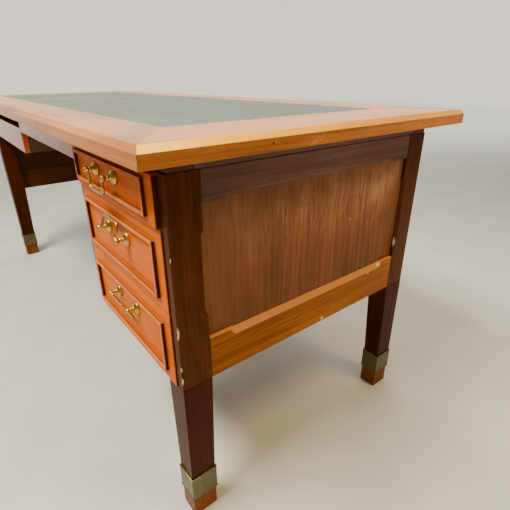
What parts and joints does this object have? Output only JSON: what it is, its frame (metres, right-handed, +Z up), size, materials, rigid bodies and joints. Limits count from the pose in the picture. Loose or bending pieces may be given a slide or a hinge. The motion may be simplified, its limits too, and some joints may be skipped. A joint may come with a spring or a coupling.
{
  "type": "writing desk with drawers",
  "caption": "Mahogany writing desk with an inset green leather top, a pedestal of drawers with swinging brass handles, framed ends and banded tapered legs.",
  "frame": {"origin": "on the floor under the middle of the desktop, the bottom centre of the bounding box", "axes": "+Z up, -Y towards the drawer fronts and the sitter, +X towards the pedestal end, to the right of someone facing the fronts"},
  "size_m": [1.85, 0.76, 0.77],
  "materials": {
    "border_wood": "satin polish, worn at the edges",
    "core_wood": "bare board",
    "green_leather": "satin, gilt line at the edge",
    "stile_wood": "dark satin polish",
    "rail_wood": "satin polish",
    "panel_wood": "satin polish, straight upright grain",
    "leg_wood": "dark satin polish",
    "drawer_front_wood": "satin polish",
    "drawer_box_wood": "bare board",
    "aged_brass": "aged, lightly tarnished"
  },
  "bodies": {
    "desk": {"top_border_front": "border_wood", "subframe_front": "rail_wood", "top_border_right": "border_wood", "subframe_right": "rail_wood", "top_border_rear": "border_wood", "subframe_rear": "rail_wood", "top_border_left": "border_wood", "subframe_left": "rail_wood", "top_core_board": "core_wood", "leather_inset": "green_leather", "right_top_rail": "stile_wood", "right_bottom_rail": "rail_wood", "right_end_panel": "panel_wood", "right_front_leg": "leg_wood", "right_front_band": "aged_brass", "right_rear_leg": "leg_wood", "right_rear_band": "aged_brass", "left_top_rail": "stile_wood", "left_bottom_rail": "rail_wood", "left_end_panel": "panel_wood", "left_front_leg": "leg_wood", "left_front_band": "aged_brass", "left_rear_leg": "leg_wood", "left_rear_band": "aged_brass", "right_front_stile": "stile_wood", "right_rear_stile": "stile_wood", "pedestal_inner_side": "stile_wood", "pedestal_back": "panel_wood", "pedestal_bottom": "drawer_box_wood", "runner_middle_left": "drawer_box_wood", "runner_middle_right": "drawer_box_wood", "runner_top_left": "drawer_box_wood", "runner_top_right": "drawer_box_wood", "front_apron": "rail_wood", "rear_apron": "stile_wood", "pen_runner_left": "rail_wood", "pen_runner_right": "rail_wood"},
    "bottom_drawer": {"bottom_drawer_front": "drawer_front_wood", "bottom_drawer_moulding": "drawer_front_wood", "bottom_drawer_box": "drawer_box_wood", "bottom_drawer_base": "drawer_box_wood", "bottom_post_left": "aged_brass", "bottom_post_right": "aged_brass"},
    "bottom_handle": {"bottom_bail": "aged_brass"},
    "middle_drawer": {"middle_drawer_front": "drawer_front_wood", "middle_drawer_moulding": "drawer_front_wood", "middle_drawer_box": "drawer_box_wood", "middle_drawer_base": "drawer_box_wood", "middle_post_left": "aged_brass", "middle_post_right": "aged_brass"},
    "middle_handle": {"middle_bail": "aged_brass"},
    "top_drawer": {"top_drawer_front": "drawer_front_wood", "top_drawer_moulding": "drawer_front_wood", "top_drawer_box": "drawer_box_wood", "top_drawer_base": "drawer_box_wood", "top_post_left": "aged_brass", "top_post_right": "aged_brass"},
    "top_handle": {"top_bail": "aged_brass"},
    "pen_drawer": {"pen_drawer_front": "rail_wood", "pen_drawer_tray": "drawer_box_wood"}
  },
  "joints": [
    {"name": "bottom_drawer_slide", "type": "slide", "parent": "desk", "child": "bottom_drawer", "axis": [0, -1, 0], "range_m": [0, 0.36]},
    {"name": "bottom_handle_swing", "type": "hinge", "parent": "bottom_drawer", "child": "bottom_handle", "pos_m": [0.6625, -0.347, 0.4328], "axis": [-1, 0, 0], "range_deg": [-4, 221]},
    {"name": "middle_drawer_slide", "type": "slide", "parent": "desk", "child": "middle_drawer", "axis": [0, -1, 0], "range_m": [0, 0.36]},
    {"name": "middle_handle_swing", "type": "hinge", "parent": "middle_drawer", "child": "middle_handle", "pos_m": [0.6625, -0.347, 0.5768], "axis": [-1, 0, 0], "range_deg": [-228, 0]},
    {"name": "top_drawer_slide", "type": "slide", "parent": "desk", "child": "top_drawer", "axis": [0, -1, 0], "range_m": [-0.006, 0.36]},
    {"name": "top_handle_swing", "type": "hinge", "parent": "top_drawer", "child": "top_handle", "pos_m": [0.6625, -0.353, 0.68965], "axis": [-1, 0, 0], "range_deg": [-16, 195]},
    {"name": "pen_drawer_slide", "type": "slide", "parent": "desk", "child": "pen_drawer", "axis": [0, -1, 0], "range_m": [0, 0.3]}
  ]
}
